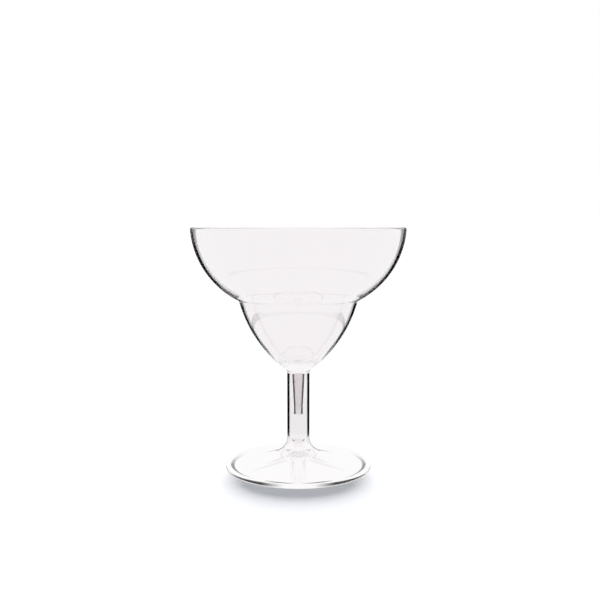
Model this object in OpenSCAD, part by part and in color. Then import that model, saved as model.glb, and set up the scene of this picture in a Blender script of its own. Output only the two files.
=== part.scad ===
// Two-piece margarita glass in clear moulded plastic: a two-tier bowl
// whose tapered peg pushes into the socket of a stemmed base.
// Both mouldings are revolved about Z. The foot stands on z = 0.

/* [Bowl] */
// Outside diameter at the lip
rim_d = 112; // [104:0.5:120]
// Thickness of the full-round lip
lip_t = 2; // [1.6:0.1:2.6]
// Height of the upper tier, from the step to the top of the lip
cup_h = 38; // [34:0.5:44]
// Radius of the upper tier's outside sweep
cup_r = 44.8; // [38:0.2:60]
// Thickness of the upper wall where it meets the step
cup_t = 1.3; // [1:0.1:1.8]
// How much tighter the upper tier's inside sweep is than its outside one
cup_tighter = 2.7; // [2:0.1:3.4]
// Outside diameter at the step between the tiers
step_d = 62.4; // [56:0.2:70]
// Fillet in the outside corner of the step
step_fillet = 0.8; // [0.4:0.1:1.6]
// Round on the inside edge of the step
step_round = 1.6; // [0.8:0.1:2.4]
// Height of the lower tier, from the seat to the step
well_h = 37.6; // [32:0.2:44]
// Radius of the lower tier's outside sweep
well_r = 67.4; // [55:0.2:90]
// Wall thickness of the lower tier
well_t = 1.2; // [1:0.1:1.8]
// Thickness of the floor above the seat
floor_t = 6.2; // [5:0.1:8]
// Round between the floor and the lower wall
floor_round = 4; // [2:0.1:6]

/* [Seat, peg and socket] */
// Diameter of the flat seat face under the bowl
seat_d = 13; // [12.4:0.1:15]
// Height of the straight land round the seat face
seat_land = 0.8; // [0.5:0.1:1.4]
// Round on the seat's lower edge
seat_round = 0.3; // [0.1:0.05:0.45]
// Gap between the seat face and the top of the stem
seat_gap = 0.1; // [0.05:0.05:0.3]
// Diameter of the tapered socket at the top of the stem
socket_d = 5; // [3.8:0.1:5.6]
// Countersink at the mouth of the socket
mouth_sink = 1; // [0.5:0.1:1.4]
// Depth of the tapered part of the socket
taper_h = 18; // [14:0.2:20]
// Diameter of the straight end of the socket
pilot_d = 3.3; // [2.4:0.05:3.8]
// Length of the peg's straight end
pilot_h = 2.1; // [1.5:0.1:3]
// Round on the end of the peg
peg_round = 0.6; // [0.2:0.1:1]
// Depth of the empty pocket under the peg
pocket_h = 3.9; // [2:0.1:6]
// Radial clearance of the peg in the socket
peg_clear = 0.06; // [0.03:0.01:0.15]

/* [Stem and foot] */
// Height of the base, from the table to the top of the stem
base_h = 51.3; // [47:0.1:58]
// Diameter of the stem
stem_d = 11.8; // [11:0.1:12.2]
// Round on the top edge of the stem
stem_round = 0.8; // [0.4:0.1:1.1]
// Radius of the flare from the stem into the foot
flare_r = 8.5; // [6:0.1:11]
// Diameter of the foot
foot_d = 77; // [68:0.5:86]
// Slope of the foot's top, in degrees
foot_slope = 12; // [9:0.5:15]
// Height of the foot's edge
edge_h = 2; // [1.7:0.1:2.6]
// Round on the top of the foot's edge
edge_round = 0.9; // [0.4:0.1:1]
// Round on the bottom of the foot's edge
heel_round = 0.5; // [0.2:0.1:0.6]
// Width of the standing ring under the foot
ring_w = 2.7; // [2:0.1:4]
// Thickness of the foot above its hollow
foot_t = 1.7; // [1.4:0.1:2]
// Height of the core hole's top above the table
core_h = 15.6; // [13:0.1:18]
// Diameter of the core hole at its top
core_d = 4.8; // [4:0.1:5.6]
// Diameter of the core hole where it opens into the hollow
core_mouth_d = 5.8; // [5:0.1:7]
// Round at the top of the core hole
core_round = 1.2; // [0.6:0.1:1.6]

/* [Hidden] */
$fn = 180;

// Cuts run this far past the faces that they open
overrun = 3;

rim_r = rim_d / 2;
lip_r = lip_t / 2;
step_r = step_d / 2;
seat_r = seat_d / 2;
socket_r = socket_d / 2;
pilot_r = pilot_d / 2;
stem_r = stem_d / 2;
foot_r = foot_d / 2;
core_r = core_d / 2;
core_mouth_r = core_mouth_d / 2;

// Heights above the table
seat_z = base_h + seat_gap;
floor_z = seat_z + floor_t;
step_z = seat_z + well_h;
glass_h = step_z + cup_h;
lip_z = glass_h - lip_r;

// Centre of the circle of radius rho through p and the lower point q,
// on the side of the axis
function sweep_centre(p, q, rho) =
    let (d = q - p, half = norm(d) / 2)
    (p + q) / 2 + sqrt(rho * rho - half * half) * [d[1], -d[0]] / norm(d);

// Where two circles cross, at the crossing farther from the axis
function crossing(a, ra, b, rb) =
    let (
        d = b - a,
        l = norm(d),
        along = (l * l + ra * ra - rb * rb) / (2 * l),
        off = sqrt(ra * ra - along * along),
        middle = a + d * along / l,
        side = [d[1], -d[0]] * off / l
    )
    side[0] > 0 ? middle + side : middle - side;

// Point at distance r from c, in the direction of p
function toward(c, r, p) = c + r * (p - c) / norm(p - c);

// Outside of the bowl: one sweep for each tier
lip_out = [rim_r, lip_z];
step_out = [step_r, step_z];
land_out = [seat_r, seat_z + seat_land];
cup_c = sweep_centre(lip_out, step_out, cup_r);
well_c = sweep_centre(step_out, land_out, well_r);

// Inside of the bowl: the upper wall thins from the lip to the step,
// the lower wall keeps its thickness
lip_in = [rim_r - lip_t, lip_z];
step_in = toward(step_out, cup_t, cup_c);
cup_in_r = cup_r - cup_tighter;
cup_in_c = sweep_centre(lip_in, step_in, cup_in_r);
well_in_r = well_r - well_t;
nose = crossing(cup_in_c, cup_in_r, well_c, well_in_r);

// Round between the floor and the lower wall
bend_z = floor_z + floor_round;
bend_drop = well_c[1] - bend_z;
bend_reach = well_in_r - floor_round;
bend_c = [well_c[0] + sqrt(bend_reach * bend_reach - bend_drop * bend_drop), bend_z];
bend_end = toward(well_c, well_in_r, bend_c);

// Heights of the socket and the peg in it
sink_z = base_h - mouth_sink;
pilot_z = base_h - taper_h;
peg_z = pilot_z - pilot_h;
pocket_z = peg_z - pocket_h;
sink_r = socket_r - (socket_r - pilot_r) * mouth_sink / taper_h;

// Foot: the cone of its top, and the flare tangent to the cone and the stem
function cone_z(r) = edge_h + (foot_r - r) * tan(foot_slope);
function roof_z(r) = cone_z(r) - foot_t / cos(foot_slope);
cone_up = [sin(foot_slope), cos(foot_slope)];
flare_c = [stem_r + flare_r, cone_z(stem_r + flare_r) + flare_r / cos(foot_slope)];
edge_c = [foot_r - edge_round, cone_z(foot_r - edge_round) - edge_round / cos(foot_slope)];
hollow_r = foot_r - ring_w;

// Strip of the profile between two heights, from the axis out
module strip(from_z, to_z, reach) {
    translate([0, from_z]) square([reach, to_z - from_z]);
}

// Corner left over by the arc round c that is tangent at p and q, running on
// past it: added, it fills an inside corner, and taken off, it rounds an
// outside one
module corner_sliver(p, corner, q, c, rho) {
    difference() {
        polygon([
            c,
            toward(c, rho + overrun, p),
            toward(c, norm(corner - c) + overrun, corner),
            toward(c, rho + overrun, q)
        ]);
        translate(c) circle(r = rho);
    }
}

// The same for the corner where two circles meet
module circle_corner(a, ra, b, rb, corner, rho) {
    c = crossing(a, ra + rho, b, rb + rho);
    corner_sliver(toward(a, ra, c), corner, toward(b, rb, c), c, rho);
}

// The same for a square corner with its arc inward and up or down
module square_corner(corner, rho, up) {
    c = corner + [-rho, up * rho];
    corner_sliver([corner[0], c[1]], corner, [c[0], corner[1]], c, rho);
}

// Outside of the two tiers, filled
module tiers() {
    intersection() {
        translate(cup_c) circle(r = cup_r);
        strip(step_z, lip_z, rim_r);
    }
    intersection() {
        translate(well_c) circle(r = well_r);
        strip(land_out[1], step_z + step_fillet, rim_r);
    }
    circle_corner(cup_c, cup_r, well_c, well_r, step_out, step_fillet);
}

// Space inside the two tiers, open at the lip and clear all along the axis
module tier_space() {
    strip(lip_z, glass_h + overrun, lip_in[0]);
    strip(nose[1], glass_h + overrun, nose[0] - step_round);
    intersection() {
        translate(cup_in_c) circle(r = cup_in_r);
        strip(nose[1], lip_z, rim_r);
    }
    circle_corner(cup_in_c, cup_in_r, well_c, well_in_r, nose, step_round);
    intersection() {
        translate(well_c) circle(r = well_in_r);
        strip(bend_end[1], nose[1] + step_round, rim_r);
    }
    intersection() {
        translate(bend_c) circle(r = floor_round);
        strip(floor_z, bend_end[1], rim_r);
    }
    strip(floor_z, bend_end[1], bend_c[0]);
}

// Land and seat face, countersink, taper and straight end of the peg
module seat_and_peg() {
    difference() {
        polygon([
            [0, land_out[1] + seat_land], [seat_r, land_out[1] + seat_land], [seat_r, seat_z],
            [sink_r + seat_z - sink_z - peg_clear, seat_z], [sink_r - peg_clear, sink_z],
            [pilot_r - peg_clear, pilot_z], [pilot_r - peg_clear, peg_z], [0, peg_z]
        ]);
        square_corner([seat_r, seat_z], seat_round, 1);
        square_corner([pilot_r - peg_clear, peg_z], peg_round, 1);
    }
}

// Socket with a countersunk mouth and a ball end under the empty pocket
module socket() {
    polygon([
        [0, base_h + overrun], [sink_r + mouth_sink + overrun, base_h + overrun], [sink_r, sink_z],
        [pilot_r, pilot_z], [pilot_r, pocket_z + pilot_r], [0, pocket_z + pilot_r]
    ]);
    intersection() {
        translate([0, pocket_z + pilot_r]) circle(r = pilot_r);
        strip(pocket_z, pilot_z, pilot_r);
    }
}

// Stem, flare and foot, filled
module stem_and_foot() {
    difference() {
        strip(0, base_h, stem_r);
        square_corner([stem_r, base_h], stem_round, -1);
    }
    corner_sliver(
        [stem_r, flare_c[1]], [stem_r, cone_z(stem_r)],
        flare_c - flare_r * cone_up, flare_c, flare_r
    );
    difference() {
        polygon([[0, 0], [foot_r, 0], [foot_r, edge_h], [stem_r, cone_z(stem_r)], [0, cone_z(stem_r)]]);
        corner_sliver(
            [foot_r, edge_c[1]], [foot_r, edge_h],
            edge_c + edge_round * cone_up, edge_c, edge_round
        );
        square_corner([foot_r, 0], heel_round, 1);
    }
}

// Hollow under the foot, and the core hole that goes up the stem from it
module underside() {
    polygon([[0, -overrun], [hollow_r, -overrun], [hollow_r, roof_z(hollow_r)], [0, roof_z(0)]]);
    difference() {
        polygon([
            [0, 0], [core_mouth_r, 0], [core_mouth_r, roof_z(core_mouth_r)],
            [core_r, core_h - core_round], [core_r, core_h], [0, core_h]
        ]);
        square_corner([core_r, core_h], core_round, -1);
    }
}

module bowl() {
    color([0.94, 0.92, 0.94, 0.5])
    union() {
        rotate_extrude() difference() {
            tiers();
            tier_space();
        }
        rotate_extrude() translate([rim_r - lip_r, lip_z]) circle(r = lip_r);
        rotate_extrude() seat_and_peg();
    }
}

module base() {
    color([0.93, 0.91, 0.94, 0.5])
    rotate_extrude() {
        difference() {
            stem_and_foot();
            underside();
            socket();
        }
    }
}

bowl();
base();
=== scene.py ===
# %% [markdown]
# # A clear margarita glass in two mouldings
#
# The glass is a party glass in clear plastic: a wide stepped bowl with a peg under it, and a base whose
# stem has a socket for that peg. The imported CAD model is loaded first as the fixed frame. Everything
# below is made in metres in that frame, and the CAD's own box is kept, so that the dressed model can be
# measured against it.

# %% Load the frame
import math

import bpy
import numpy as np
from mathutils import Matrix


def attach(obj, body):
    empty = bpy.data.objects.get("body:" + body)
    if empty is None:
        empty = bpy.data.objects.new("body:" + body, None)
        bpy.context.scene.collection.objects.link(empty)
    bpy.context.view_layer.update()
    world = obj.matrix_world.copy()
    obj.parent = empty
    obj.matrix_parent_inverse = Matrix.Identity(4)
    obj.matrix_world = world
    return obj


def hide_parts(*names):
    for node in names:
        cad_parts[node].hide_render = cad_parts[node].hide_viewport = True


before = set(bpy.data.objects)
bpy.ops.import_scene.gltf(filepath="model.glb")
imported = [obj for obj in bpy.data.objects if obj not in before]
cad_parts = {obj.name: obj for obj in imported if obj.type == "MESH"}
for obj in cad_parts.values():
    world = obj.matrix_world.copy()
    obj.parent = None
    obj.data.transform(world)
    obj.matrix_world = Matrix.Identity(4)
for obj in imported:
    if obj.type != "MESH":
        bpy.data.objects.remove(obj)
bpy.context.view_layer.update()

scene = bpy.context.scene

# %% [markdown]
# ## Sweeps and rounds of a profile
#
# Both mouldings are the same all round, so each is one profile turned about the Z axis. The profile could
# be drawn by hand as a curve and spun, but clear plastic shows every wobble of a profile as a bent
# reflection. Here it is worked out from true arcs and straight runs that meet tangentially, as the mould
# maker's drawing has them. Lengths are in millimetres until the profile is turned.

# %% Arcs, straight runs and the points where they meet
def toward(c, dist, p):
    """The point at a distance from c, in the direction of p."""
    c, p = np.asarray(c, float), np.asarray(p, float)
    return c + dist * (p - c) / np.hypot(*(p - c))


def sweep_centre(p, q, rho):
    """Centre of the circle of radius rho through p and the lower point q, on the side of the axis: from the
    middle of the chord, square to it, by the root of rho squared less half the chord squared."""
    p, q = np.asarray(p, float), np.asarray(q, float)
    d = q - p
    chord = np.hypot(*d)
    return (p + q) / 2 + math.sqrt(rho**2 - chord**2 / 4) * np.array([d[1], -d[0]]) / chord


def crossing(a, ra, b, rb):
    """Where the circle round a and the circle round b cross, at the crossing farther from the axis."""
    d = b - a
    far = np.hypot(*d)
    along = (far**2 + ra**2 - rb**2) / (2 * far)
    off = math.sqrt(ra**2 - along**2) * np.array([d[1], -d[0]]) / far
    return a + d * along / far + (off if off[0] > 0 else -off)


def arc(c, p, q, step, crowd=1.0):
    """Points on the circle round c from p the short way to the direction of q, step degrees apart on average.
    They crowd together towards p, as equal steps raised to the power crowd do, or towards q if crowd is
    negative."""
    c, p, q = (np.asarray(v, float) for v in (c, p, q))
    start = math.atan2(*(p - c)[::-1])
    turn = (math.atan2(*(q - c)[::-1]) - start + math.pi) % (2 * math.pi) - math.pi
    u = np.linspace(0, 1, max(3, math.ceil(abs(math.degrees(turn)) / step)) + 1)
    t = start + turn * (u**crowd if crowd > 0 else 1 - (1 - u) ** -crowd)
    return c + np.hypot(*(p - c)) * np.stack([np.cos(t), np.sin(t)], 1)


def run(p, q, parts=10):
    """Points on the straight run from p to q, closer together at its ends, as the cosine of equal angles
    places them."""
    t = (1 - np.cos(np.linspace(0, math.pi, parts + 1)))[:, None] / 2
    return np.asarray(p, float) * (1 - t) + np.asarray(q, float) * t


def chain(*pieces):
    """The pieces of a profile one after the other, each shared end point kept once."""
    p = np.concatenate(pieces)
    keep = np.r_[True, np.hypot(*np.diff(p, axis=0).T) > 1e-6]
    return p[keep]


# %% [markdown]
# ## Profile of the bowl
#
# Outside, the bowl has two swept tiers that meet at a step. Inside, the upper wall thins from the 2 mm
# lip to the step, and the lower wall keeps its 1.2 mm down to a thick floor. Under the floor are the flat
# seat face, a countersunk root and the tapered peg. The profile starts on the axis at the peg's end, goes
# up the outside, over the lip and down the inside to the middle of the floor.

# %% Bowl profile
base_h, seat_z, land_z, floor_z, step_z, lip_z = 51.3, 51.4, 52.2, 57.6, 89.0, 126.0
rim_r, lip_t, step_r, seat_r = 56, 2, 31.2, 6.5
cup_r, cup_t, cup_tighter, well_r, well_t = 44.8, 1.3, 2.7, 67.4, 1.2
step_fillet, step_round, floor_round, seat_round, peg_round = 0.8, 1.6, 4, 0.3, 0.6
socket_r, pilot_r, peg_clear, taper_h = 2.5, 1.65, 0.06, 18
sink_z, pilot_z, peg_z = 50.3, 33.3, 31.2
# Degrees between points on an arc
corner_step, lip_step, bend_step, nose_step, well_step, cup_step = 9, 6, 5, 4, 0.8, 0.6
# The cup's points crowd towards the lip, where its outline is seen best
cup_crowd = 1.5

lip_out, lip_in = np.array([rim_r, lip_z]), np.array([rim_r - lip_t, lip_z])
lip_mid = np.array([rim_r - lip_t / 2, lip_z])
lip_top = lip_mid + [0, lip_t / 2]
step_out, land_out = np.array([step_r, step_z]), np.array([seat_r, land_z])
cup_c = sweep_centre(lip_out, step_out, cup_r)
well_c = sweep_centre(step_out, land_out, well_r)
cup_in_r, well_in_r = cup_r - cup_tighter, well_r - well_t
cup_in_c = sweep_centre(lip_in, toward(step_out, cup_t, cup_c), cup_in_r)
fillet_c = crossing(cup_c, cup_r + step_fillet, well_c, well_r + step_fillet)
nose_c = crossing(cup_in_c, cup_in_r + step_round, well_c, well_in_r + step_round)
bend_z = floor_z + floor_round
bend_r = well_c[0] + math.sqrt((well_in_r - floor_round) ** 2 - (well_c[1] - bend_z) ** 2)
bend_c = np.array([bend_r, bend_z])
bend_end = toward(well_c, well_in_r, bend_c)
sink_r = socket_r - (socket_r - pilot_r) / taper_h
peg_r, root_r = pilot_r - peg_clear, sink_r - peg_clear
peg_flat, seat_flat = peg_r - peg_round, seat_r - seat_round
peg_side, seat_side = peg_z + peg_round, seat_z + seat_round
mouth_r = root_r + seat_z - sink_z

bowl_profile = chain(
    run((0, peg_z), (peg_flat, peg_z)),
    arc((peg_flat, peg_side), (peg_flat, peg_z), (peg_r, peg_side), corner_step),
    run((peg_r, peg_side), (peg_r, pilot_z)),
    run((peg_r, pilot_z), (root_r, sink_z)),
    run((root_r, sink_z), (mouth_r, seat_z)),
    run((mouth_r, seat_z), (seat_flat, seat_z)),
    arc((seat_flat, seat_side), (seat_flat, seat_z), (seat_r, seat_side), corner_step),
    run((seat_r, seat_side), land_out, 4),
    arc(well_c, land_out, toward(well_c, well_r, fillet_c), well_step),
    arc(fillet_c, toward(fillet_c, step_fillet, well_c), toward(fillet_c, step_fillet, cup_c), nose_step),
    arc(cup_c, toward(cup_c, cup_r, fillet_c), lip_out, cup_step, -cup_crowd),
    arc(lip_mid, lip_out, lip_top, lip_step),
    arc(lip_mid, lip_top, lip_in, lip_step),
    arc(cup_in_c, lip_in, toward(cup_in_c, cup_in_r, nose_c), cup_step, cup_crowd),
    arc(nose_c, toward(nose_c, step_round, cup_in_c), toward(nose_c, step_round, well_c), nose_step),
    arc(well_c, toward(well_c, well_in_r, nose_c), bend_end, well_step),
    arc(bend_c, bend_end, (bend_r, floor_z), bend_step),
    run((bend_r, floor_z), (0, floor_z)),
)
print("bowl profile:", len(bowl_profile), "points, height", bowl_profile[:, 1].max(), "mm")

# %% [markdown]
# ## Profile of the base
#
# The base is hollowed from below, as mouldings are, so that no part of it is thick: a conical roof 1.7 mm
# under the top of the foot, inside the ring that the glass stands on, and a core hole a little way up the
# stem. From above, the tapered socket goes 24 mm down into the stem and ends in a ball. The profile
# starts on the axis at the top of the core hole, goes round the foot and up the stem, and ends at the
# bottom of the socket.

# %% Base profile
stem_r, stem_round, flare_r = 5.9, 0.8, 8.5
foot_r, foot_t, hollow_r, edge_h, edge_r, heel_r = 38.5, 1.7, 35.8, 2, 0.9, 0.5
core_h, core_r, core_mouth_r, core_round, pocket_z = 15.6, 2.4, 2.9, 1.2, 27.3
edge_step, flare_step, rim_step = 6, 3, 7
slope = math.radians(12)
cone_up = np.array([math.sin(slope), math.cos(slope)])


def cone_z(r):
    """Height of the foot's top at radius r: the height of the edge, rising inwards with the slope."""
    return edge_h + (foot_r - r) * math.tan(slope)


def roof_z(r):
    """Height of the hollow's roof at radius r: the foot's thickness under its top, square to it."""
    return cone_z(r) - foot_t / math.cos(slope)


flare_c = np.array([stem_r + flare_r, cone_z(stem_r + flare_r) + flare_r / math.cos(slope)])
edge_c = np.array([foot_r - edge_r, cone_z(foot_r - edge_r) - edge_r / math.cos(slope)])
cone_out, cone_in = edge_c + edge_r * cone_up, flare_c - flare_r * cone_up
core_flat, core_side = core_r - core_round, core_h - core_round
core_mouth, hollow_top = (core_mouth_r, roof_z(core_mouth_r)), (hollow_r, roof_z(hollow_r))
heel_flat = foot_r - heel_r
top_flat, top_side = stem_r - stem_round, base_h - stem_round
ball_z = pocket_z + pilot_r

base_profile = chain(
    run((0, core_h), (core_flat, core_h), 4),
    arc((core_flat, core_side), (core_flat, core_h), (core_r, core_side), corner_step),
    run((core_r, core_side), core_mouth),
    run(core_mouth, hollow_top, 14),
    run(hollow_top, (hollow_r, 0), 4),
    run((hollow_r, 0), (heel_flat, 0), 6),
    arc((heel_flat, heel_r), (heel_flat, 0), (foot_r, heel_r), corner_step),
    run((foot_r, heel_r), (foot_r, edge_c[1]), 4),
    arc(edge_c, (foot_r, edge_c[1]), cone_out, edge_step),
    run(cone_out, cone_in, 14),
    arc(flare_c, cone_in, (stem_r, flare_c[1]), flare_step),
    run((stem_r, flare_c[1]), (stem_r, top_side), 14),
    arc((top_flat, top_side), (stem_r, top_side), (top_flat, base_h), rim_step),
    run((top_flat, base_h), (sink_r + base_h - sink_z, base_h)),
    run((sink_r + base_h - sink_z, base_h), (sink_r, sink_z)),
    run((sink_r, sink_z), (pilot_r, pilot_z)),
    run((pilot_r, pilot_z), (pilot_r, ball_z)),
    arc((0, ball_z), (pilot_r, ball_z), (0, pocket_z), rim_step),
)
print("base profile:", len(base_profile), "points, across", 2 * base_profile[:, 0].max(), "mm")

# %% [markdown]
# ## Turning the profiles
#
# Blender's Screw or Spin would turn a profile too. Worked out as one array, the surface keeps its two end
# points as single closed poles, and there is no seam where the turn comes round. Smooth shading with
# sharp edges only where the profile has a real corner gives clear plastic its clean refraction.

# %% Turn both mouldings
MM = 0.001
BOWL_TURNS, BASE_TURNS = 224, 200
SHARP_CORNER = math.radians(20)


def turned(name, profile, turns):
    """Surface of revolution: the profile's point (r, z) goes to (r cos t, r sin t, z) for equal angles t.
    The first and the last point lie on the axis and close the surface as poles."""
    t = np.arange(turns) * (2 * math.pi / turns)
    rings = profile[1:-1] * MM
    r, z = rings[:, :1], rings[:, 1:]
    side = np.stack([r * np.cos(t), r * np.sin(t), z + 0 * t], -1).reshape(-1, 3)
    poles = np.array([[0, 0, profile[0, 1]], [0, 0, profile[-1, 1]]]) * MM
    first, nxt = np.arange(turns), (np.arange(turns) + 1) % turns
    up = np.arange(len(rings) - 1)[:, None] * turns
    quads = np.stack([up + first, up + nxt, up + turns + nxt, up + turns + first], -1).reshape(-1, 4)
    last = (len(rings) - 1) * turns
    start_fan = np.stack([np.full(turns, len(side)), nxt, first], 1)
    end_fan = np.stack([last + first, last + nxt, np.full(turns, len(side) + 1)], 1)
    mesh = bpy.data.meshes.new(name)
    faces = quads.tolist() + start_fan.tolist() + end_fan.tolist()
    mesh.from_pydata(np.concatenate([side, poles]).tolist(), [], faces)
    mesh.shade_smooth()
    mesh.set_sharp_from_angle(angle=SHARP_CORNER)
    piece = bpy.data.objects.new(name, mesh)
    scene.collection.objects.link(piece)
    print(name, "has", 2 * len(quads) + 2 * turns, "triangles")
    return piece


bowl = turned("stepped_bowl", bowl_profile, BOWL_TURNS)
base = turned("stemmed_base", base_profile, BASE_TURNS)
for piece, body in ((bowl, "bowl"), (base, "base")):
    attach(piece, body)
    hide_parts(body)

# %% [markdown]
# ## The skin of a clear moulding
#
# Clear moulded plastic isn't perfectly even: the plastic froze while it flowed from the middle to the
# edge, which leaves very shallow waves that bend what shows through, and stacking and handling leave a
# faint haze and hair-thin scuffs. Both mouldings have this skin, so it is one node group with its own
# values in each material.

# %% Node group for flow waves, haze and scuffs
def link(tree, a, b):
    """Joins the output a to the input b."""
    tree.links.new(a, b)


def skin_group():
    """Waves: noise stretched along the flow. Haze: broad noise. Scuffs: the thin lines between cells of a
    second, stretched noise. Tint: from the clear to the deep one between the heights where the moulding is
    thin and thick."""
    g = bpy.data.node_groups.new("moulded_skin", "ShaderNodeTree")
    for name, kind, value in (
        ("Point", "Vector", None),
        ("Clear Tint", "Color", (1, 1, 1, 1)),
        ("Deep Tint", "Color", (1, 1, 1, 1)),
        ("Thin Height", "Float", 0.0),
        ("Thick Height", "Float", 0.01),
        ("Wave Scale", "Float", 60.0),
        ("Gloss", "Float", 0.0),
        ("Haze", "Float", 0.02),
    ):
        s = g.interface.new_socket(name=name, in_out="INPUT", socket_type="NodeSocket" + kind)
        if value is not None:
            s.default_value = value
    for name, kind in (("Tint", "Color"), ("Roughness", "Float"), ("Wave Height", "Float")):
        g.interface.new_socket(name=name, in_out="OUTPUT", socket_type="NodeSocket" + kind)
    n = g.nodes
    src, out = n.new("NodeGroupInput"), n.new("NodeGroupOutput")
    flow = n.new("ShaderNodeMapping")
    flow.inputs["Scale"].default_value = (1.0, 1.0, 0.45)
    link(g, src.outputs["Point"], flow.inputs["Vector"])
    wave = n.new("ShaderNodeTexNoise")
    wave.inputs["Detail"].default_value = 1.0
    link(g, flow.outputs["Vector"], wave.inputs["Vector"])
    link(g, src.outputs["Wave Scale"], wave.inputs["Scale"])
    haze = n.new("ShaderNodeTexNoise")
    haze.inputs["Scale"].default_value = 35.0
    haze.inputs["Detail"].default_value = 3.0
    link(g, src.outputs["Point"], haze.inputs["Vector"])
    scuff = n.new("ShaderNodeTexVoronoi")
    scuff.feature = "DISTANCE_TO_EDGE"
    scuff.inputs["Scale"].default_value = 90.0
    link(g, flow.outputs["Vector"], scuff.inputs["Vector"])
    hair = n.new("ShaderNodeMapRange")
    for key, value in (("From Min", 0.0), ("From Max", 0.012), ("To Min", 1.0), ("To Max", 0.0)):
        hair.inputs[key].default_value = value
    link(g, scuff.outputs["Distance"], hair.inputs["Value"])
    patch = n.new("ShaderNodeMapRange")
    for key, value in (("From Min", 0.5), ("From Max", 0.72), ("To Min", 0.0), ("To Max", 1.0)):
        patch.inputs[key].default_value = value
    link(g, haze.outputs["Fac"], patch.inputs["Value"])
    both = n.new("ShaderNodeMath")
    both.operation = "MULTIPLY"
    link(g, hair.outputs["Result"], both.inputs[0])
    link(g, patch.outputs["Result"], both.inputs[1])
    rough = n.new("ShaderNodeMath")
    rough.operation = "MULTIPLY_ADD"
    link(g, both.outputs[0], rough.inputs[0])
    link(g, src.outputs["Haze"], rough.inputs[1])
    link(g, src.outputs["Gloss"], rough.inputs[2])
    xyz, thick = n.new("ShaderNodeSeparateXYZ"), n.new("ShaderNodeMapRange")
    link(g, src.outputs["Point"], xyz.inputs["Vector"])
    link(g, xyz.outputs["Z"], thick.inputs["Value"])
    link(g, src.outputs["Thin Height"], thick.inputs["From Min"])
    link(g, src.outputs["Thick Height"], thick.inputs["From Max"])
    tint = n.new("ShaderNodeMix")
    tint.data_type = "RGBA"
    link(g, thick.outputs["Result"], tint.inputs["Factor"])
    link(g, src.outputs["Clear Tint"], tint.inputs[6])
    link(g, src.outputs["Deep Tint"], tint.inputs[7])
    link(g, tint.outputs[2], out.inputs["Tint"])
    link(g, rough.outputs[0], out.inputs["Roughness"])
    link(g, wave.outputs["Fac"], out.inputs["Wave Height"])
    return g


skin = skin_group()
print("skin group:", len(skin.nodes), "nodes")

# %% [markdown]
# ## Clear plastic
#
# The material is a Principled BSDF that transmits all light, with the refraction index of crystal
# polystyrene. The tint is a trace of lilac pink, which only builds up where light goes through much
# plastic: at the lip, in the floor and in the hub of the foot.

# %% Materials of the two mouldings
def clear_plastic(name, clear, deep, heights, wave_scale, wave_depth):
    """Clear plastic with the skin's tint from clear to deep between two heights, and its waves as bump."""
    m = bpy.data.materials.new(name)
    m.use_nodes = True
    n = m.node_tree.nodes
    bsdf = n["Principled BSDF"]
    bsdf.inputs["IOR"].default_value = 1.59
    bsdf.inputs["Transmission Weight"].default_value = 1.0
    bsdf.inputs["Metallic"].default_value = 0.0
    place = n.new("ShaderNodeTexCoord")
    own = n.new("ShaderNodeGroup")
    own.node_tree = skin
    own.inputs["Clear Tint"].default_value = (*clear, 1)
    own.inputs["Deep Tint"].default_value = (*deep, 1)
    own.inputs["Thin Height"].default_value, own.inputs["Thick Height"].default_value = heights
    own.inputs["Wave Scale"].default_value = wave_scale
    bump = n.new("ShaderNodeBump")
    bump.inputs["Strength"].default_value = 1.0
    bump.inputs["Distance"].default_value = wave_depth
    link(m.node_tree, place.outputs["Object"], own.inputs["Point"])
    link(m.node_tree, own.outputs["Tint"], bsdf.inputs["Base Color"])
    link(m.node_tree, own.outputs["Roughness"], bsdf.inputs["Roughness"])
    link(m.node_tree, own.outputs["Wave Height"], bump.inputs["Height"])
    link(m.node_tree, bump.outputs["Normal"], bsdf.inputs["Normal"])
    return m


bowl.data.materials.append(clear_plastic(
    "clear_bowl_plastic", clear=(0.951, 0.933, 0.938), deep=(0.945, 0.925, 0.931),
    heights=(0.080, 0.058), wave_scale=55, wave_depth=1e-6))
base.data.materials.append(clear_plastic(
    "clear_base_plastic", clear=(0.973, 0.956, 0.965), deep=(0.885, 0.855, 0.863),
    heights=(0.007, 0.018), wave_scale=70, wave_depth=1e-5))
print("materials:", [m.name for m in bpy.data.materials if m.name.endswith("_plastic")])

# %% [markdown]
# ## Camera
#
# The camera stands as high as the lip, so that the lip shows as a line, and looks down a little, so that
# the foot shows as an ellipse.

# %% Camera
camera_right, camera_away, camera_up = 0.00087, 0.412, 0.127
look_down = math.radians(5.26)
camera = bpy.data.objects.new("camera", bpy.data.cameras.new("camera"))
scene.collection.objects.link(camera)
scene.camera = camera
camera.data.sensor_width = 36
camera.data.lens = 47.21
camera.data.clip_start = 0.01
camera.location = (camera_right, -camera_away, camera_up)
camera.rotation_euler = (math.pi / 2 - look_down, 0, 0)
print("camera at", tuple(camera.location))

# %% [markdown]
# ## Studio
#
# Clear things are photographed in a white room with black cards beside them: what goes straight through
# stays white, and every edge, which bends the light sideways, shows a card and goes dark. World and floor
# are white for the camera and for all that is mirrored or seen through the plastic. For light itself they
# are dimmer, so that the floor still takes a shadow.

# %% World and floor
def any_of(tree, *rays):
    """1 for the named kinds of rays, as Light Path gives them, and 0 for all others."""
    path = tree.nodes.new("ShaderNodeLightPath")
    out = path.outputs[rays[0]]
    for kind in rays[1:]:
        both = tree.nodes.new("ShaderNodeMath")
        both.operation = "MAXIMUM"
        link(tree, out, both.inputs[0])
        link(tree, path.outputs[kind], both.inputs[1])
        out = both.outputs[0]
    return out


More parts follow.
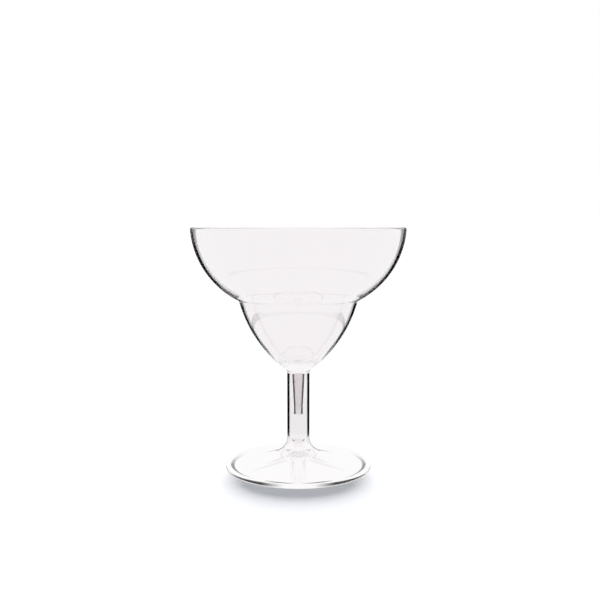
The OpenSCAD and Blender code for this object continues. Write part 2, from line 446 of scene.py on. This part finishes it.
world = bpy.data.worlds.new("white_studio")
scene.world = world
world.use_nodes = True
w = world.node_tree
w.nodes.clear()
fill, white = w.nodes.new("ShaderNodeBackground"), w.nodes.new("ShaderNodeBackground")
fill.inputs["Color"].default_value = (0.80, 0.86, 1.0, 1)
fill.inputs["Strength"].default_value = 0.33
white.inputs["Color"].default_value = (1, 1, 1, 1)
pick, w_out = w.nodes.new("ShaderNodeMixShader"), w.nodes.new("ShaderNodeOutputWorld")
link(w, any_of(w, "Is Camera Ray", "Is Glossy Ray", "Is Transmission Ray"), pick.inputs["Fac"])
link(w, fill.outputs[0], pick.inputs[1])
link(w, white.outputs[0], pick.inputs[2])
link(w, pick.outputs[0], w_out.inputs["Surface"])


def sheet_of(name, corners, material):
    """A flat four-cornered sheet."""
    mesh = bpy.data.meshes.new(name)
    mesh.from_pydata(corners, [], [(0, 1, 2, 3)])
    mesh.materials.append(material)
    o = bpy.data.objects.new(name, mesh)
    scene.collection.objects.link(o)


# Half the floor's width in metres, and the little that lifts its lit grey to white for the camera
FLOOR_HALF, FLOOR_LIFT = 8, 0.15
paper = bpy.data.materials.new("white_floor")
paper.use_nodes = True
p = paper.node_tree
p.nodes.clear()
matt = p.nodes.new("ShaderNodeBsdfDiffuse")
glow, white_glow = p.nodes.new("ShaderNodeEmission"), p.nodes.new("ShaderNodeEmission")
add, choose = p.nodes.new("ShaderNodeAddShader"), p.nodes.new("ShaderNodeMixShader")
p_out = p.nodes.new("ShaderNodeOutputMaterial")
matt.inputs["Color"].default_value = (0.9, 0.9, 0.9, 1)
lift = p.nodes.new("ShaderNodeMath")
lift.operation = "MULTIPLY"
lift.inputs[1].default_value = FLOOR_LIFT
link(p, any_of(p, "Is Camera Ray"), lift.inputs[0])
link(p, lift.outputs[0], glow.inputs["Strength"])
link(p, matt.outputs[0], add.inputs[0])
link(p, glow.outputs[0], add.inputs[1])
link(p, any_of(p, "Is Glossy Ray", "Is Transmission Ray"), choose.inputs["Fac"])
link(p, add.outputs[0], choose.inputs[1])
link(p, white_glow.outputs[0], choose.inputs[2])
link(p, choose.outputs[0], p_out.inputs["Surface"])
corners = [(x * FLOOR_HALF, y * FLOOR_HALF, 0) for x, y in ((-1, -1), (1, -1), (1, 1), (-1, 1))]
sheet_of("floor", corners, paper)
print("floor and white world are set")

# %% [markdown]
# The bowl's thin wall bends light by only a few degrees, so black has to begin right beside it: behind
# the bowl stand black cards cut to its outline. The solid stem sends light far round and down, so its
# dark edges come from black paper on the floor and two low walls. Black bands on the floor just inside
# the ring of the foot, seen through it, are painted contact shadow, and so is a band just outside the
# foot, seen mirrored in its edge: they stand for the shade where the ring meets the floor, which the
# white floor doesn't show through the plastic. Only mirrored or refracted rays meet a card, and only at
# the length that the edge it belongs to gives them. A photographer moves the cards along with the
# camera, and so do the two stands that carry these.

# %% Black cards, paper and low walls
def black_card(name, near, far, from_axis):
    """Black by the ink of each corner, for rays whose length since they left a surface lies between near and
    far, so that a card darkens the edge that it belongs to and little else of the glass. From the axis, the
    length counts less the card's own distance from the middle of its stand, which leaves the rays that come
    straight from the stem."""
    m = bpy.data.materials.new(name)
    m.use_nodes = True
    t = m.node_tree
    t.nodes.clear()
    dark, clear = t.nodes.new("ShaderNodeEmission"), t.nodes.new("ShaderNodeBsdfTransparent")
    out = t.nodes.new("ShaderNodeOutputMaterial")
    dark.inputs["Color"].default_value = (0.004, 0.004, 0.004, 1)
    ink, path, cover = (t.nodes.new("ShaderNode" + k) for k in ("Attribute", "LightPath", "MixShader"))
    ink.attribute_name = "ink"
    within, both = t.nodes.new("ShaderNodeMath"), t.nodes.new("ShaderNodeMath")
    within.operation, both.operation = "COMPARE", "MULTIPLY"
    within.inputs[1].default_value = (near + far) / 2
    within.inputs[2].default_value = (far - near) / 2
    length = path.outputs["Ray Length"]
    if from_axis:
        place, out_by, over = (t.nodes.new("ShaderNode" + k) for k in ("TexCoord", "VectorMath", "Math"))
        out_by.operation, over.operation = "LENGTH", "SUBTRACT"
        link(t, place.outputs["Object"], out_by.inputs[0])
        link(t, length, over.inputs[0])
        link(t, out_by.outputs["Value"], over.inputs[1])
        length = over.outputs[0]
    link(t, length, within.inputs[0])
    link(t, ink.outputs["Fac"], both.inputs[0])
    link(t, within.outputs[0], both.inputs[1])
    link(t, both.outputs[0], cover.inputs["Fac"])
    link(t, clear.outputs[0], cover.inputs[1])
    link(t, dark.outputs[0], cover.inputs[2])
    link(t, cover.outputs[0], out.inputs["Surface"])
    return m


def stand(name, place, kind):
    """An empty that turns its front, -Y, to the camera: fully, or about the vertical alone."""
    o = bpy.data.objects.new(name, None)
    scene.collection.objects.link(o)
    o.location = place
    face = o.constraints.new(kind)
    face.target = camera
    face.track_axis = "TRACK_NEGATIVE_Y"
    if kind == "TRACK_TO":
        face.up_axis = "UP_Z"
    else:
        face.lock_axis = "LOCK_Z"
    return o


def strip(name, rows, inks, reach, holder, seen, from_axis=False):
    """A card made of rows of points, each joined to the next, on a stand. Each row or point has its ink, from
    0 for clear to 1 for black. Mirrored rays (m), refracted rays (r) or both meet the card, from within its
    reach."""
    rows = np.asarray(rows)
    n, m = rows.shape[:2]
    inks = np.ascontiguousarray(np.broadcast_to(np.float32(inks), (n, m)))
    k = np.arange(n * m).reshape(n, m)
    quads = np.stack([k[:-1, :-1], k[:-1, 1:], k[1:, 1:], k[1:, :-1]], -1).reshape(-1, 4)
    mesh = bpy.data.meshes.new(name)
    mesh.from_pydata(rows.reshape(-1, 3).tolist(), [], quads.tolist())
    mesh.attributes.new("ink", "FLOAT", "POINT").data.foreach_set("value", inks.ravel())
    mesh.materials.append(black_card(name, *reach, from_axis))
    o = bpy.data.objects.new(name, mesh)
    scene.collection.objects.link(o)
    o.parent = holder
    o.visible_camera = o.visible_diffuse = o.visible_shadow = o.visible_volume_scatter = False
    o.visible_glossy, o.visible_transmission = "m" in seen, "r" in seen


# %% Stands and outlines of the cards
middle_z, seat_end, seat_share = 0.0635, 0.0535, 0.15
AROUND = 40
card_stand = stand("card_stand", (0, 0, middle_z), "TRACK_TO")
collar_stand = stand("collar_stand", (0, 0, 0), "LOCKED_TRACK")
height = camera.location.z - card_stand.location.z
away = np.hypot(camera.location.y, height)
tip = math.atan2(height, -camera.location.y)


def beside(outline, behind, steps, full_from=0.062):
    """Rows of points that follow an outline as the camera sees it on a card at a depth, each row a step away
    from it. Below the height full_from the steps get shorter, down to a share of them at the seat, so that
    the foot doesn't mirror the card."""
    up = outline[:, 1] - card_stand.location.z
    grow = (away + behind) / (away - up * math.sin(tip))
    edge = np.stack([outline[:, 0] * grow, up * math.cos(tip) * grow], 1)
    along = np.gradient(edge, axis=0)
    out = np.stack([along[:, 1], -along[:, 0]], 1) / np.hypot(*along.T)[:, None]
    spread = np.interp(outline[:, 1], (seat_end, full_from), (seat_share, 1))[:, None]
    rows = [edge + far * spread * out for far in steps]
    return [np.stack([r[:, 0], np.full(len(r), behind), r[:, 1]], 1) for r in rows]


def around(turns, ring):
    """Rows of points round the axis between two turns in degrees from straight behind, one row per radius and
    height."""
    a = np.radians(np.linspace(*turns, AROUND))
    return [np.stack([r * np.sin(a), r * np.cos(a), np.full(len(a), z)], 1) for r, z in ring]


print("card stand", middle_z, "m up, tipped by", round(math.degrees(tip), 1), "degrees")

# %% Shapes of the cards
step_gap, lip_end, above_lip = 0.0005, 0.1262, 0.03
outside = bowl_profile[:bowl_profile[:, 1].argmax() + 1] * MM
up_by = outside[:, 1]
lower = outside[(up_by > seat_end) & (up_by < step_z * MM - step_gap)]
upper = outside[(up_by > step_z * MM + step_gap) & (up_by < lip_end)]
upper = np.concatenate([upper, upper[-1:] + [[0, above_lip]]])
# How far behind the axis the bowl's cards stand, and their steps away from the outline
gloss_behind, lower_behind, upper_behind = 0.045, 0.040, 0.066
gloss_steps, lower_steps, upper_steps = (0, 0.037), (0.0003, 0.0015, 0.032), (0.0005, 0.002, 0.065)
gloss_full_from = 0.070
# Radius and height of the two edges of each band round the axis
near_paper, low_wall = ((0.040, 0.0003), (0.112, 0.0003)), ((0.078, 0.0065), (0.078, 0.0195))
far_wall = (0.120, 0.0003), (0.120, 0.029)
# The next three bands are painted contact shadow on the floor: one just outside the foot, seen mirrored in
# its edge, and two just inside its ring, the second only at the front, seen through it
edge_contact_shadow, ring_contact_shadow = ((0.0386, 0.00002), (0.0500, 0.00002)), ((0.0339, 0.00002), (0.0358, 0.00002))
front_contact_shadow = (0.0325, 0.0001), (0.0338, 0.0001)
# From which turn to which each band goes, in degrees from straight behind
mirrored, refracted, far_back, far_front = (5, 92), (43, 180), (43, 105), (105, 180)
ring_turns, front_turns = (55, 170), (148, 178)
print("outlines:", len(lower), "points in the lower tier,", len(upper), "in the upper one")

# %% Ink and reach of the cards, and their places
full, soft = [[1], [1]], [[0], [1], [1]]
# How dark the painted contact shadow round the ring and at the front is along its turn, fading out at both
# ends
ring_shadow_strength = np.interp(np.linspace(*ring_turns, AROUND), (55, 92, 150, 168), (0, 1, 1, 0))
front_shadow_strength = np.interp(np.linspace(*front_turns, AROUND), (148, 158, 168, 178), (0, 1, 1, 0))
# Shortest and longest ray that each card is black for; those of the near paper count from the axis
lower_gloss_rays, lower_rays = (0.036, 0.068), (0.0435, 0.065)
upper_gloss_rays, upper_rays = (0.038, 0.086), (0.081, 0.125)
near_rays, wall_rays, foot_rays = (-0.0045, 0.0040), (0.0722, 0.0802), (0, 0.012)
far_rays, front_rays = (0.1160, 0.1240), (0.1190, 0.1240)
behind_bowl = (
    ("lower_gloss", beside(lower, gloss_behind, gloss_steps, gloss_full_from), full, lower_gloss_rays, "m"),
    ("lower_card", beside(lower, lower_behind, lower_steps), soft, lower_rays, "r"),
    ("upper_gloss", beside(upper, gloss_behind, gloss_steps), full, upper_gloss_rays, "m"),
    ("upper_card", beside(upper, upper_behind, upper_steps), soft, upper_rays, "r"),
)
round_base = (
    ("near_shine", around(mirrored, near_paper), full, near_rays, "m"),
    ("near_paper", around(refracted, near_paper), full, near_rays, "r"),
    ("low_shine", around(mirrored, low_wall), full, wall_rays, "m"),
    ("low_wall", around(refracted, low_wall), full, wall_rays, "r"),
    ("far_shine", around(mirrored, far_wall), full, far_rays, "m"),
    ("far_wall", around(far_back, far_wall), full, far_rays, "r"),
    ("far_front", around(far_front, far_wall), full, front_rays, "r"),
    # Painted contact shadow round the foot's ring, as black bands on the floor
    ("edge_contact_shadow", around(ring_turns, edge_contact_shadow), ring_shadow_strength, foot_rays, "m"),
    ("ring_contact_shadow", around(ring_turns, ring_contact_shadow), ring_shadow_strength, foot_rays, "r"),
    ("front_contact_shadow", around(front_turns, front_contact_shadow), front_shadow_strength, foot_rays, "r"),
)
for flip, side in ((-1, "left"), (1, "right")):
    for holder, cards in ((card_stand, behind_bowl), (collar_stand, round_base)):
        for name, rows, inks, reach, seen in cards:
            rows = [r * (flip, 1, 1) for r in rows]
            strip(f"{side}_{name}", rows, inks, reach, holder, seen, from_axis=reach == near_rays)

# %% [markdown]
# One large soft lamp behind and above the glass throws the shadow towards the camera. A ray tracer
# doesn't gather the light that clear plastic lets through and bends back into its shadow, and makes that
# shadow far too dark. The mouldings therefore cast none here, and a disc a little smaller than the foot,
# which only shadow rays meet, casts the foot's soft one.

# %% Soft lamp and the foot's shadow
# How wide the lamp looks and how high it stands, in degrees, and its strength
LAMP_WIDTH, LAMP_HEIGHT, LAMP_STRENGTH = 30, 31, 4.3
shade_r, shade_z, SHADE_SIDES = 0.0345, 0.0145, 64
lamp = bpy.data.objects.new("soft_lamp", bpy.data.lights.new("soft_lamp", "SUN"))
scene.collection.objects.link(lamp)
lamp.data.angle = math.radians(LAMP_WIDTH)
lamp.data.energy = LAMP_STRENGTH
lamp.rotation_euler = (math.radians(LAMP_HEIGHT - 90), 0, 0)
lamp.visible_camera = lamp.visible_transmission = lamp.visible_glossy = False
turn = np.linspace(0, 2 * math.pi, SHADE_SIDES, endpoint=False)
rim = np.stack([shade_r * np.cos(turn), shade_r * np.sin(turn), np.full(SHADE_SIDES, shade_z)], 1)
shade_mesh = bpy.data.meshes.new("foot_shade")
shade_mesh.from_pydata(rim.tolist(), [], [range(SHADE_SIDES)])
shade = bpy.data.objects.new("foot_shade", shade_mesh)
scene.collection.objects.link(shade)
shade.visible_camera = shade.visible_diffuse = shade.visible_glossy = shade.visible_transmission = False
bowl.visible_shadow = base.visible_shadow = False
print("lamp", LAMP_HEIGHT, "degrees up, shade", 2 * shade_r, "m across")

# %% Colours as written, and rays that may cross many walls
BOUNCES = 100
scene.view_settings.view_transform = "Standard"
scene.cycles.max_bounces = BOUNCES
scene.cycles.transmission_bounces = BOUNCES
scene.cycles.glossy_bounces = BOUNCES
print("bounces:", BOUNCES)

# %% [markdown]
#
# At the end the view layer is updated, so that every piece stands where its parent puts it.

bpy.context.view_layer.update()
